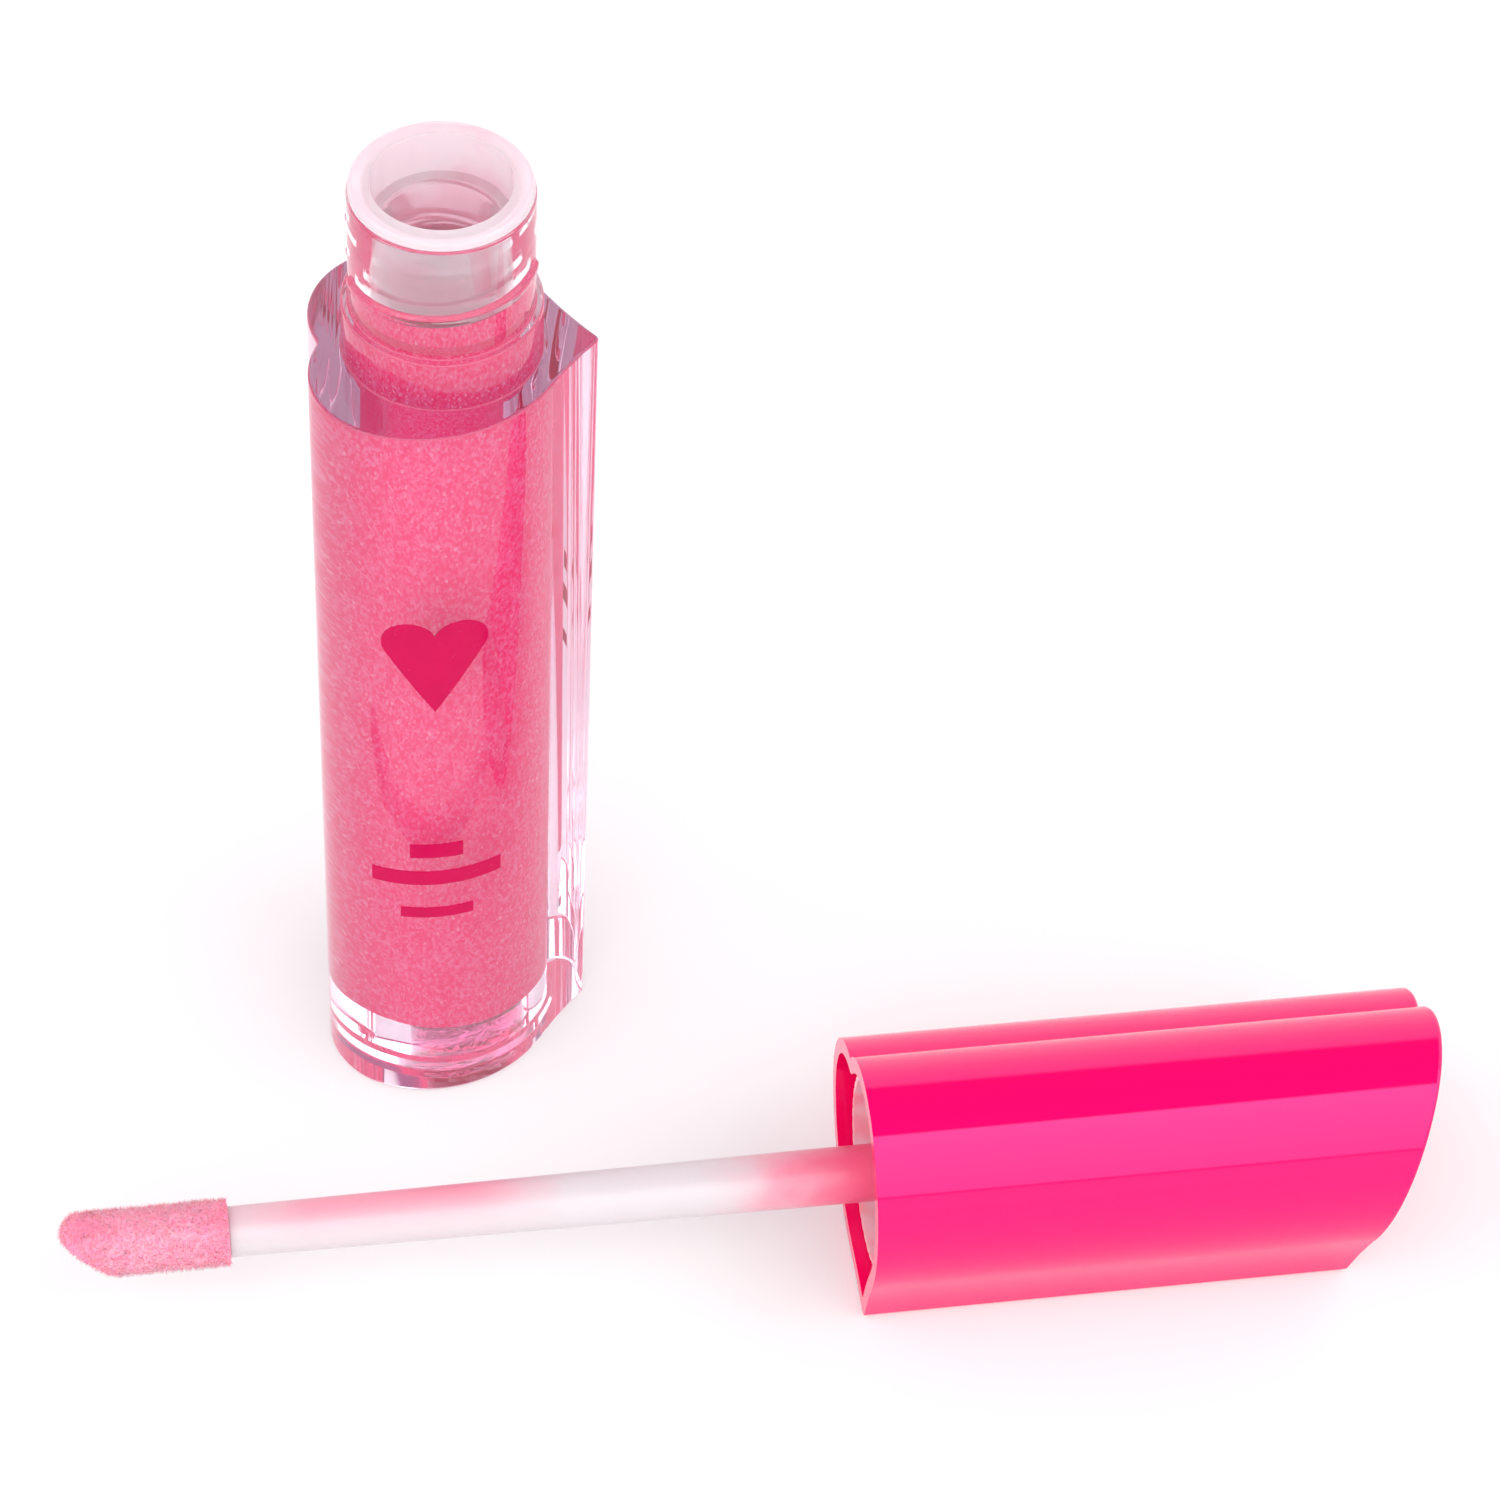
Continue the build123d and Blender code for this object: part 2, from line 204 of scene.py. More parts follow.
def ring_quads(rings, around, joined):
    """Four-sided faces between neighbouring rings of points; joined closes the last ring to the first."""
    ring = np.arange(rings if joined else rings - 1)[:, None]
    step = np.arange(around)[None, :]
    after = (step + 1) % around
    up = (ring + 1) % rings
    return np.stack([ring * around + step, ring * around + after,
                     up * around + after, up * around + step], -1).reshape(-1, 4)


def rounded(points, radii, steps=5):
    """A run of (reach, height) points with an arc of the given radius at each inner corner, tangent to both
    sides; an arc is swung from its first radius to its last at an even turn."""
    points = np.asarray(points, float)
    out = [points[:1]]
    for before, corner, after, radius in zip(points[:-2], points[1:-1], points[2:], radii):
        if radius <= 0:
            out.append(corner[None])
            continue
        u = (before - corner) / np.linalg.norm(before - corner)
        v = (after - corner) / np.linalg.norm(after - corner)
        half = 0.5 * np.arccos(np.clip(u @ v, -1, 1))
        centre = corner + (u + v) / np.linalg.norm(u + v) * radius / np.sin(half)
        first = corner + u * radius / np.tan(half) - centre
        last = corner + v * radius / np.tan(half) - centre
        full = np.pi - 2 * half
        t = np.linspace(0, 1, steps + 1)[:, None]
        out.append(centre + (np.sin((1 - t) * full) * first + np.sin(t * full) * last) / np.sin(full))
    out.append(points[-1:])
    return np.vstack(out)


def spread(points, limit):
    """The same run with more points, so that none is further from the next than the limit."""
    out = [points[:1]]
    for a, b in zip(points[:-1], points[1:]):
        count = max(1, int(np.ceil(np.linalg.norm(b - a) / limit)))
        out.append(a + (b - a) * np.linspace(0, 1, count + 1)[1:, None])
    return np.vstack(out)


def arc(centre, radius, start, end, count):
    """Points of an arc about a centre between two directions, the last left out."""
    turn = np.linspace(start, end, count, endpoint=False)
    return centre + radius * np.stack([np.cos(turn), np.sin(turn)], 1)


def direction(a, b):
    """Direction from a to b."""
    return math.atan2(b[1] - a[1], b[0] - a[0])


def heart_outline(sizes, grow):
    """The heart-shaped section grown by a distance: arcs for the tip, the hollow run beside it, the flank,
    the lobe and the cleft, each tangent to the next, and their mirror images in the X axis."""
    lobe = np.array([-sizes.lobe_back, sizes.lobe_side])
    flank = lobe + (sizes.lobe - sizes.flank) * np.array([math.cos(sizes.sweep), math.sin(sizes.sweep)])
    tip = np.array([sizes.reach - sizes.tip, 0.0])
    way = tip - flank
    far = np.linalg.norm(way)
    to_flank, to_tip = sizes.flank + sizes.hollow, sizes.tip + sizes.hollow
    along = (to_flank ** 2 - to_tip ** 2 + far ** 2) / (2 * far)
    across = math.sqrt(to_flank ** 2 - along ** 2)
    step = way / far
    hollow = flank + step * along + np.array([-step[1], step[0]]) * across
    back = math.sqrt((sizes.lobe + sizes.cleft) ** 2 - sizes.lobe_side ** 2)
    cleft = np.array([-sizes.lobe_back - back, 0.0])
    rise = direction(cleft, lobe)
    turn = direction(tip, hollow)
    start = direction(lobe, cleft) % math.tau
    half = np.vstack([
        arc(tip, sizes.tip + grow, 0, turn, 14),
        arc(hollow, sizes.hollow - grow, direction(hollow, tip), direction(hollow, flank), 34),
        arc(flank, sizes.flank + grow, direction(flank, hollow), sizes.sweep, 64),
        arc(lobe, sizes.lobe + grow, sizes.sweep, start, 110),
        arc(cleft, sizes.cleft - grow, rise, 0, 14),
    ])
    middle = np.array([[cleft[0] + sizes.cleft - grow, 0.0]])
    mirrored = half[:0:-1] * [1, -1]
    return np.vstack([half, middle, mirrored])


def turned_points(profile, around):
    """A profile of (radius, height) points carried once round the axis, as rings of points."""
    turn = np.linspace(0, math.tau, around, endpoint=False)
    r, z = profile[:, 0, None], profile[:, 1, None]
    return np.stack([r * np.cos(turn), r * np.sin(turn), z + 0 * turn], -1)


def turned_piece(name, profile, around=160):
    """A closed turned piece: the profile runs from the axis, round the outside and back to the axis."""
    rings = turned_points(profile[1:-1], around)
    count = len(rings)
    points = np.vstack([rings.reshape(-1, 3), [[0, 0, profile[0, 1]]], [[0, 0, profile[-1, 1]]]])
    step = np.arange(around)
    after = (step + 1) % around
    first = np.stack([np.full(around, count * around), after, step], 1)
    last = np.stack([np.full(around, count * around + 1),
                     (count - 1) * around + step, (count - 1) * around + after], 1)
    return closed_mesh(name, points, ring_quads(count, around, False), np.vstack([first, last]))


# ---------------------------------------------------------------- materials

def material(name):
    """A new material with its node tree, its Principled shader and its Object coordinates."""
    made = bpy.data.materials.new(name)
    made.use_nodes = True
    tree = made.node_tree
    place = tree.nodes.new("ShaderNodeTexCoord").outputs["Object"]
    return made, tree, tree.nodes["Principled BSDF"], place


def finish(shader, **values):
    """Sets inputs of a shader that are the same all over the surface."""
    for name, value in values.items():
        shader.inputs[name.replace("_", " ")].default_value = value


def feed(tree, socket, value):
    """Links an input to another node's output, or sets it to a plain value."""
    if hasattr(value, "is_output"):
        tree.links.new(value, socket)
    else:
        socket.default_value = value


def mixed(tree, factor, low, high):
    """A colour between two colours by a factor; each colour is a socket or three numbers."""
    node = tree.nodes.new("ShaderNodeMix")
    node.data_type = "RGBA"
    tree.links.new(factor, node.inputs["Factor"])
    for socket, value in ((node.inputs[6], low), (node.inputs[7], high)):
        feed(tree, socket, value if hasattr(value, "is_output") else (*value, 1.0))
    return node.outputs[2]


def ranged(tree, value, low, high, to_low=0.0, to_high=1.0, smooth=True):
    """A value moved from one range to another, clamped."""
    node = tree.nodes.new("ShaderNodeMapRange")
    node.interpolation_type = "SMOOTHSTEP" if smooth else "LINEAR"
    tree.links.new(value, node.inputs["Value"])
    for name, amount in (("From Min", low), ("From Max", high), ("To Min", to_low), ("To Max", to_high)):
        node.inputs[name].default_value = amount
    return node.outputs["Result"]


def maths(tree, kind, a, b):
    """The result of one Math node; each operand is a socket or a number."""
    node = tree.nodes.new("ShaderNodeMath")
    node.operation = kind
    feed(tree, node.inputs[0], a)
    feed(tree, node.inputs[1], b)
    return node.outputs[0]


def noise(tree, vector, scale, detail=2.0, distortion=0.0):
    """Smooth noise from 0 to 1; its scale is a socket or a number of waves to the metre."""
    node = tree.nodes.new("ShaderNodeTexNoise")
    tree.links.new(vector, node.inputs["Vector"])
    feed(tree, node.inputs["Scale"], scale)
    node.inputs["Detail"].default_value = detail
    node.inputs["Distortion"].default_value = distortion
    return node.outputs["Fac"]


def cells(tree, vector, scale):
    """Round cells, each with its own colour; the scale is a socket or a number of cells to the metre."""
    node = tree.nodes.new("ShaderNodeTexVoronoi")
    tree.links.new(vector, node.inputs["Vector"])
    feed(tree, node.inputs["Scale"], scale)
    return node


def stretched(tree, place, across):
    """Object coordinates multiplied across the tube and left alone up it, which makes a pattern taller."""
    node = tree.nodes.new("ShaderNodeVectorMath")
    node.operation = "MULTIPLY"
    tree.links.new(place, node.inputs[0])
    node.inputs[1].default_value = (across, across, 1.0)
    return node.outputs["Vector"]


def height_above(tree, place):
    """Height above the plane of the base, in metres."""
    node = tree.nodes.new("ShaderNodeSeparateXYZ")
    tree.links.new(place, node.inputs[0])
    return node.outputs[2]


def distance_along(tree, place, way, start):
    """Distance along a direction from a start point, in metres."""
    node = tree.nodes.new("ShaderNodeVectorMath")
    node.operation = "DOT_PRODUCT"
    tree.links.new(place, node.inputs[0])
    node.inputs[1].default_value = way
    return maths(tree, "SUBTRACT", node.outputs["Value"], float(way.dot(start)))


def bump(tree, shader, height, distance, strength=1.0):
    """Feeds a height in metres into the shader's normal."""
    node = tree.nodes.new("ShaderNodeBump")
    node.inputs["Distance"].default_value = distance
    node.inputs["Strength"].default_value = strength
    tree.links.new(height, node.inputs["Height"])
    tree.links.new(node.outputs["Normal"], shader.inputs["Normal"])


def new_group(name, inputs, outputs):
    """An empty shader node group with float inputs besides its vector, and the named outputs."""
    group = bpy.data.node_groups.new(name, "ShaderNodeTree")
    group.interface.new_socket("Vector", in_out="INPUT", socket_type="NodeSocketVector")
    for label, value in inputs:
        socket = group.interface.new_socket(label, in_out="INPUT", socket_type="NodeSocketFloat")
        socket.default_value = value
    for label in outputs:
        group.interface.new_socket(label, in_out="OUTPUT", socket_type="NodeSocketFloat")
    given = group.nodes.new("NodeGroupInput").outputs
    return group, given, group.nodes.new("NodeGroupOutput").inputs


def shimmer_group():
    """Shared shimmer: fine cells each with its own brightness, broken up by a broader cloud."""
    group, given, result = new_group(
        "Pearl Shimmer", [("Scale", 2600.0), ("Cloud Scale", 300.0)], ["Mask", "Spark"])
    flecks = cells(group, given["Vector"], given["Scale"])
    grey = group.nodes.new("ShaderNodeSeparateColor")
    group.links.new(flecks.outputs["Color"], grey.inputs[0])
    cloud = noise(group, given["Vector"], given["Cloud Scale"], detail=3.0)
    fine = noise(group, given["Vector"], maths(group, "MULTIPLY", given["Scale"], 0.55))
    grain = maths(group, "MULTIPLY", maths(group, "MULTIPLY", grey.outputs[0], fine), 1.1)
    clouded = maths(group, "ADD", grain, maths(group, "MULTIPLY", cloud, 0.45))
    group.links.new(clouded, result["Mask"])
    group.links.new(ranged(group, grey.outputs[1], 0.965, 0.99), result["Spark"])
    return group


def handling_group():
    """Shared handling marks: faint smears that change the roughness, and a fine ripple of the moulding."""
    group, given, result = new_group(
        "Handling Marks", [("Scale", 120.0), ("Base", 0.05), ("Amount", 0.05)], ["Roughness", "Height"])
    smear = noise(group, given["Vector"], given["Scale"], detail=4.0, distortion=0.6)
    amount = maths(group, "MULTIPLY", ranged(group, smear, 0.45, 0.75), given["Amount"])
    group.links.new(maths(group, "ADD", amount, given["Base"]), result["Roughness"])
    ripple = noise(group, given["Vector"], maths(group, "MULTIPLY", given["Scale"], 0.6))
    group.links.new(ripple, result["Height"])
    return group


def place_group(tree, name, make, vector, **values):
    """A placed shader node group, made at its first use, with its vector linked and its inputs set."""
    node = tree.nodes.new("ShaderNodeGroup")
    node.node_tree = bpy.data.node_groups.get(name) or make()
    tree.links.new(vector, node.inputs["Vector"])
    finish(node, **values)
    return node.outputs


def shimmer(tree, vector, scale, cloud):
    """The shared shimmer with a material's own scales."""
    return place_group(tree, "Pearl Shimmer", shimmer_group, vector, Scale=scale, Cloud_Scale=cloud)


def handled(tree, shader, place, scale, base, amount):
    """Puts the shared handling marks on a material's roughness and returns the height of their ripple."""
    marks = place_group(tree, "Handling Marks", handling_group, place, Scale=scale, Base=base, Amount=amount)
    tree.links.new(marks["Roughness"], shader.inputs["Roughness"])
    return marks["Height"]


def wall_material(looks, shoulder, neck):
    """Polished clear plastic, tinted a little and less in the neck, with a dark mauve painted shade on the
    flat shoulder in place of the dark inner reflections of the thick wall, and faint handling marks in its
    roughness."""
    made, tree, shader, place = material("clear_wall")
    handled(tree, shader, place, 140.0, 0.0, 0.012)
    height = height_above(tree, place)
    # Painted shade on the flat shoulder: its tint is darkened to mauve in place of the inner reflections of
    # the thick wall.
    shoulder_painted_shade = ranged(tree, height, shoulder - 0.15 * MM, shoulder - 0.05 * MM)
    in_neck = ranged(tree, height, shoulder + 0.2 * MM, neck)
    tone = mixed(tree, in_neck, mixed(tree, shoulder_painted_shade, looks.clear, looks.shoulder), looks.neck)
    tree.links.new(tone, shader.inputs["Base Color"])
    finish(shader, IOR=CLEAR_IOR, Transmission_Weight=1.0)
    return made


def wiper_material(looks):
    """Soft translucent plastic, part clear and part milky, with gloss left on it in patches, more of it
    lower down."""
    made, tree, shader, place = material("wiper_soft")
    handled(tree, shader, place, 220.0, 0.05, 0.08)
    lower = ranged(tree, height_above(tree, place), 86.5 * MM, 78.5 * MM, 0.0, 0.55)
    smear = noise(tree, place, 230.0, detail=3.0)
    patch = ranged(tree, maths(tree, "ADD", smear, lower), 0.5, 0.9, 0.0, 0.45)
    tree.links.new(mixed(tree, patch, looks.wiper, looks.smear), shader.inputs["Base Color"])
    finish(shader, IOR=1.5, Transmission_Weight=0.57)
    return made


def plug_material(looks):
    """Clear plug whose unevenly wetted press fit breaks up what is seen through it, with a painted reflection
    of the pink gloss on its foot.
    """
    made, tree, shader, place = material("plug_clear")
    wet = noise(tree, place, 420.0, distortion=1.2)
    fit = mixed(tree, ranged(tree, wet, 0.35, 0.65), looks.clear, looks.wetted)
    # Painted reflection: below 2.0 to 2.6 mm the plug is tinted gloss pink, for the pink band of gloss
    # reflected in the base.
    above = ranged(tree, height_above(tree, place), 2.6 * MM, 2.0 * MM)
    tree.links.new(mixed(tree, above, fit, looks.foot), shader.inputs["Base Color"])
    finish(shader, IOR=CLEAR_IOR, Roughness=0.0, Transmission_Weight=1.0)
    bump(tree, shader, wet, 0.3 * MM)
    return made


def gloss_material(looks):
    """Wet pink gloss with pearl shimmer, a few brighter sparks and faint bubbles under the collar."""
    made, tree, shader, place = material("pearl_gloss")
    pearl = shimmer(tree, stretched(tree, place, 2.2), looks.fleck, 300.0)
    body = mixed(tree, ranged(tree, pearl["Mask"], 0.2, 1.0), looks.deep, looks.shimmer)
    lit = mixed(tree, maths(tree, "MULTIPLY", pearl["Spark"], 0.35), body, looks.spark)
    froth = cells(tree, stretched(tree, place, 1.6), 2300.0)
    bubble = ranged(tree, froth.outputs["Distance"], 0.30, 0.12)
    height = height_above(tree, place)
    band = maths(tree, "MULTIPLY", ranged(tree, height, 67.5 * MM, 70.5 * MM),
                 ranged(tree, height, 73.0 * MM, 71.8 * MM))
    foam = maths(tree, "MULTIPLY", maths(tree, "MULTIPLY", bubble, band), 0.75)
    tree.links.new(mixed(tree, foam, lit, looks.bubble), shader.inputs["Base Color"])
    finish(shader, Roughness=0.35, Specular_IOR_Level=0.15)
    return made


def cap_material(looks):
    """Solid glossy pink with faint handling marks and the slight ripple of moulding."""
    made, tree, shader, place = material("cap_pink")
    ripple = handled(tree, shader, place, 90.0, 0.045, 0.035)
    shade = tuple(0.93 * c for c in looks.cap)
    tree.links.new(mixed(tree, noise(tree, place, 60.0), looks.cap, shade), shader.inputs["Base Color"])
    finish(shader, IOR=1.5, Specular_IOR_Level=0.85, Specular_Tint=(1.0, 0.36, 1.0, 1.0))
    bump(tree, shader, ripple, 0.01 * MM)
    return made


def liner_material(looks):
    """Pale liner, stained by gloss in soft patches."""
    made, tree, shader, place = material("liner_pale")
    handled(tree, shader, place, 400.0, 0.3, 0.15)
    patch = ranged(tree, noise(tree, place, 350.0), 0.4, 0.7)
    tree.links.new(mixed(tree, patch, looks.liner, looks.liner_stain), shader.inputs["Base Color"])
    finish(shader, Subsurface_Weight=0.4, Subsurface_Scale=1.0 * MM)
    return made


def ink_material(looks):
    """Opaque glossy ink with a slightly uneven film."""
    made, tree, shader, place = material("print_ink")
    film = handled(tree, shader, place, 900.0, 0.18, 0.12)
    shade = tuple(0.86 * c for c in looks.ink)
    tree.links.new(mixed(tree, film, looks.ink, shade), shader.inputs["Base Color"])
    finish(shader, Specular_IOR_Level=0.12)
    return made


def wand_line():
    """The middle of the cap's mouth and the way from there into the cap, at the height of the applicator."""
    low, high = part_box("applicator_flock")
    way = Vector((math.cos(CAP_HEADING), math.sin(CAP_HEADING), 0.0))
    return Vector((*CAP_MOUTH, (low.z + high.z) / 2)), way


def wand_length():
    """From the cap's mouth to the foot of the applicator, along the wand."""
    mouth, way = wand_line()
    low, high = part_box("applicator_flock")
    ends = [Vector((x, y, mouth.z)) for x in (low.x, high.x) for y in (low.y, high.y)]
    return min((mouth - end).dot(way) for end in ends)


def wand_material(looks):
    """Natural plastic, stained with gloss near the cap and, on its upper side, near the applicator."""
    made, tree, shader, place = material("wand_natural")
    mouth, way = wand_line()
    smear = noise(tree, place, 320.0, detail=3.0)
    wander = maths(tree, "MULTIPLY", maths(tree, "SUBTRACT", smear, 0.5), 5 * MM)
    run = maths(tree, "ADD", distance_along(tree, place, -way, mouth), wander)
    near_cap = ranged(tree, run, 12.5 * MM, 0.0)
    side = Vector((0.0, 0.74, 0.67))
    side = side - side.dot(way) * way
    upper = ranged(tree, distance_along(tree, place, side, mouth), -1.2 * MM, 2.0 * MM, 0.05, 0.6)
    near_applicator = maths(tree, "MULTIPLY", ranged(tree, run, 21 * MM, 31 * MM),
                            ranged(tree, run, 47 * MM, 41 * MM, 0.4, 1.0))
    cover = maths(tree, "MAXIMUM", near_cap, maths(tree, "MULTIPLY", near_applicator, upper))
    tree.links.new(mixed(tree, cover, looks.wand, looks.stain), shader.inputs["Base Color"])
    handled(tree, shader, place, 90.0, 0.28, 0.05)
    finish(shader, Subsurface_Weight=0.55, Subsurface_Radius=(1.0, 0.75, 0.8), Subsurface_Scale=2.2 * MM)
    return made


def flock_material(looks):
    """Wet flock: clumps of short fibres, paler in random clumps towards the middle and darker towards both
    ends, partly from gloss and partly as painted shade for its darker edges.
    """
    made, tree, shader, place = material("wet_flock")
    mouth, way = wand_line()
    pearl = shimmer(tree, place, 3600.0, 500.0)
    pale = tuple(min(1.0, 0.8 * c + 0.16) for c in looks.flock)
    run = maths(tree, "SUBTRACT", distance_along(tree, place, -way, mouth), float(wand_length()))
    # Partly painted shade: darker towards both ends, for gloss wetting the tip and foot and for the darker
    # edges of the applicator as shade; paler clumps only in the middle.
    wet = maths(tree, "MAXIMUM", ranged(tree, run, 3.5 * MM, 0.0, 0.0, 0.8),
                ranged(tree, run, 8 * MM, 12.5 * MM))
    middle_unshaded = maths(tree, "SUBTRACT", 1.0, wet)
    tone = maths(tree, "MULTIPLY", ranged(tree, pearl["Mask"], 0.05, 0.8), middle_unshaded)
    tree.links.new(mixed(tree, tone, looks.flock, pale), shader.inputs["Base Color"])
    finish(shader, Roughness=0.42, Subsurface_Weight=0.6, Subsurface_Scale=1.0 * MM)
    bump(tree, shader, pearl["Mask"], 0.08 * MM, 0.6)
    return made


def dress(piece, made):
    """Gives a piece, or a CAD node, its one material."""
    if piece.material_slots:
        for slot in piece.material_slots:
            slot.material = made
    else:
        piece.data.materials.append(made)


# ---------------------------------------------------------------- operators

class GLOSS_OT_stage(bpy.types.Operator):
    """Lays the pale floor, the soft light and the camera"""
    bl_idname = "gloss.stage"
    bl_label = "Stage"

    def execute(self, context):
        looks = context.scene.gloss_stage
        side = 1.5
        low = -looks.floor_drop
        corners = np.array([[-side, -side, low], [side, -side, low], [side, side, low], [-side, side, low]])
        mesh = bpy.data.meshes.new("floor")
        mesh.from_pydata(corners.tolist(), [], [(0, 1, 2, 3)])
        floor = bpy.data.objects.new("floor", mesh)
        context.scene.collection.objects.link(floor)
        made, tree, shader, place = material("pale_floor")
        shade = tuple(0.985 * c for c in looks.floor)
        tree.links.new(mixed(tree, noise(tree, place, 6.0), looks.floor, shade), shader.inputs["Base Color"])
        finish(shader, Roughness=0.8, Specular_IOR_Level=0.1, Emission_Color=(1.0, 1.0, 1.0, 1.0),
               Emission_Strength=looks.glow)
        dress(floor, made)
        sky(context.scene, looks)
        camera(context.scene, looks)
        context.scene.view_settings.view_transform = "Standard"
        for kind in ("max_bounces", "transmission_bounces", "glossy_bounces"):
            setattr(context.scene.cycles, kind, LIGHT_BOUNCES)
        return {"FINISHED"}


def sky(scene, looks):
    """Soft studio surround, by the direction's X, Y and Z: a bright wall behind, a bright panel over a dimmer
    room in front, bright sheets high on both sides, and a dark strip overhead between them."""
    world = bpy.data.worlds.new("studio")
    world.use_nodes = True
    tree = world.node_tree
    back = tree.nodes["Background"]
    coords = tree.nodes.new("ShaderNodeTexCoord")
    parts = tree.nodes.new("ShaderNodeSeparateXYZ")
    tree.links.new(coords.outputs["Generated"], parts.inputs[0])
    x, y, z = parts.outputs
    wall = ranged(tree, z, 0.66, 0.76, looks.wall, looks.overhead)
    room = ranged(tree, z, 0.185, 0.205, looks.low_front, looks.edge)
    panel = ranged(tree, z, 0.25, 0.9, 0.72 * looks.panel, looks.panel, smooth=False)
    panel = maths(tree, "MULTIPLY", panel, ranged(tree, z, 0.215, 0.24))
    under_top = ranged(tree, z, 0.905, 0.925, 1.0, 0.0)
    ahead = maths(tree, "MULTIPLY", maths(tree, "MAXIMUM", room, panel), under_top)
    ahead = maths(tree, "MAXIMUM", ahead, looks.overhead)
    behind = ranged(tree, y, -0.03, 0.03)
    front = maths(tree, "MULTIPLY", maths(tree, "SUBTRACT", 1.0, behind), ahead)
    both = maths(tree, "ADD", maths(tree, "MULTIPLY", behind, wall), front)
    beside = ranged(tree, maths(tree, "ABSOLUTE", x, 0.0), 0.30, 0.42, 0.0, looks.sides)
    beside = maths(tree, "MULTIPLY", beside, ranged(tree, z, 0.3, 0.5))
    power = maths(tree, "MAXIMUM", both, beside)
    tree.links.new(power, back.inputs["Strength"])
    tint = mixed(tree, ranged(tree, power, looks.overhead, 0.8), looks.shade, (1.0, 1.0, 1.0))
    tree.links.new(tint, back.inputs["Color"])
    scene.world = world


def camera(scene, looks):
    """The camera: looks down by the elevation, heads from +Y towards +X by the turn, and rolls."""
    el, az, roll = looks.elevation, looks.turn, looks.roll
    ahead = Vector((math.sin(az) * math.cos(el), math.cos(az) * math.cos(el), -math.sin(el)))
    right = Vector((math.cos(az), -math.sin(az), 0.0))
    up = right.cross(ahead)
    right_rolled = math.cos(roll) * right + math.sin(roll) * up
    up_rolled = math.cos(roll) * up - math.sin(roll) * right
    data = bpy.data.cameras.new("camera")
    data.lens = looks.lens
    data.sensor_width = 36.0
    data.clip_start = 0.01
    eye = bpy.data.objects.new("camera", data)
    turn = Matrix((right_rolled, up_rolled, -ahead)).transposed().to_4x4()
    eye.matrix_world = Matrix.Translation(CAMERA_AT) @ turn
    scene.collection.objects.link(eye)
    scene.camera = eye


def ridge_rise(tube, x, y, z):
    """How far the screw ridge stands out at points of the neck: a right-hand helix with sloping flanks,
    faded at its ends and at the two gaps on the X axis."""
    start = tube.body_height + tube.collar_height + tube.ridge_start
    turn = (np.arctan2(y, x) % math.tau) / math.tau
    whole = np.round((z - start) / tube.pitch - turn)
    run = whole + turn
    off = np.abs(z - start - tube.pitch * run)
    slope = (tube.ridge_foot - tube.ridge_crest) / 2
    rise = np.clip((tube.ridge_foot / 2 - off) / slope, 0, 1)
    ends = np.clip(run / 0.02, 0, 1) * np.clip((tube.ridge_turns - run) / 0.02, 0, 1)
    gaps = np.clip((np.abs(y) - tube.ridge_gap / 2) / (0.3 * MM), 0, 1)
    rise = rise * ends * gaps
    return tube.ridge_height * rise * rise * (3 - 2 * rise)


